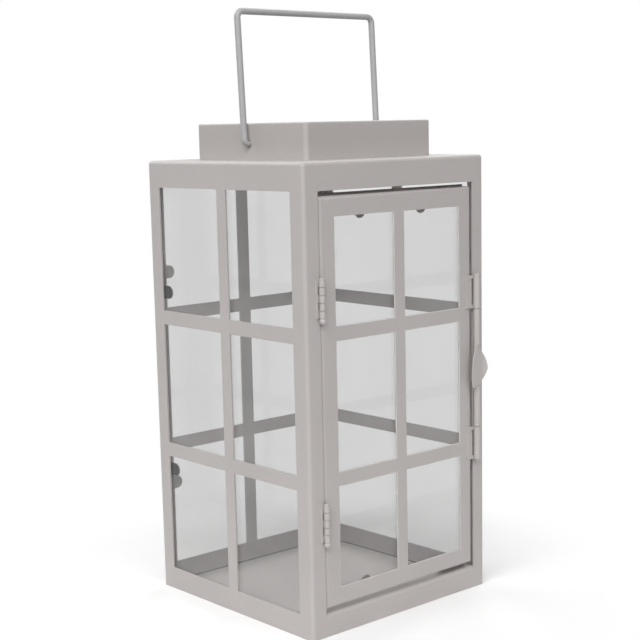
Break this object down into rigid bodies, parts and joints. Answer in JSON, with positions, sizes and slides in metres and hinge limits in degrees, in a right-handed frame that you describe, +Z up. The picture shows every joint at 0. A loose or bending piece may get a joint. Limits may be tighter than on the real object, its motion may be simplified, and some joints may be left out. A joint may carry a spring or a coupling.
{
  "type": "candle lantern",
  "caption": "Square painted metal candle lantern with glazed sides, a hinged glazed door with a thumb latch, a box cap and a swinging wire carrying handle.",
  "frame": {"origin": "middle of the base, on the surface the lantern stands on", "axes": "+Z up, -Y out of the door, +X to the latch side of the door"},
  "size_m": [0.1524, 0.1592, 0.3763],
  "materials": {
    "paint": "satin",
    "clip_paint": "satin",
    "clear_glass": "clear"
  },
  "bodies": {
    "frame": {"base_plate": "paint", "bottom_rail_back": "paint", "bottom_rail_front": "paint", "bottom_rail_left": "paint", "bottom_rail_right": "paint", "cap_shell": "paint", "glass_back": "clear_glass", "glass_clips_back": "clip_paint", "glass_clips_left": "clip_paint", "glass_clips_right": "clip_paint", "glass_left": "clear_glass", "glass_right": "clear_glass", "grille_back": "paint", "grille_left": "paint", "grille_right": "paint", "hinge_lower_frame_leaf": "paint", "hinge_lower_pin": "paint", "hinge_upper_frame_leaf": "paint", "hinge_upper_pin": "paint", "post_back_left": "paint", "post_back_right": "paint", "post_front_left": "paint", "post_front_right": "paint", "top_plate": "paint", "top_rail_back": "paint", "top_rail_front": "paint", "top_rail_left": "paint", "top_rail_right": "paint"},
    "door": {"door_glass": "clear_glass", "door_glass_clips": "clip_paint", "door_grille": "paint", "door_rail_bottom": "paint", "door_rail_top": "paint", "door_stile_hinge": "paint", "door_stile_latch": "paint", "hinge_lower_door_leaf": "paint", "hinge_upper_door_leaf": "paint", "latch_bracket_lower": "paint", "latch_bracket_upper": "paint", "latch_pin": "paint"},
    "latch": {"latch_sleeve": "paint", "latch_thumb": "paint"},
    "bail": {"bail": "paint"}
  },
  "joints": [
    {"name": "door_swing", "type": "hinge", "parent": "frame", "child": "door", "pos_m": [-0.06495, -0.0783, 0.141], "axis": [0, 0, -1], "range_deg": [0, 170]},
    {"name": "latch_turn", "type": "hinge", "parent": "door", "child": "latch", "pos_m": [0.067, -0.0789, 0.148], "axis": [0, 0, -1], "range_deg": [0, 30]},
    {"name": "bail_swing", "type": "hinge", "parent": "frame", "child": "bail", "pos_m": [0, 0, 0.2944], "axis": [1, 0, 0], "range_deg": [-92, 97]}
  ]
}
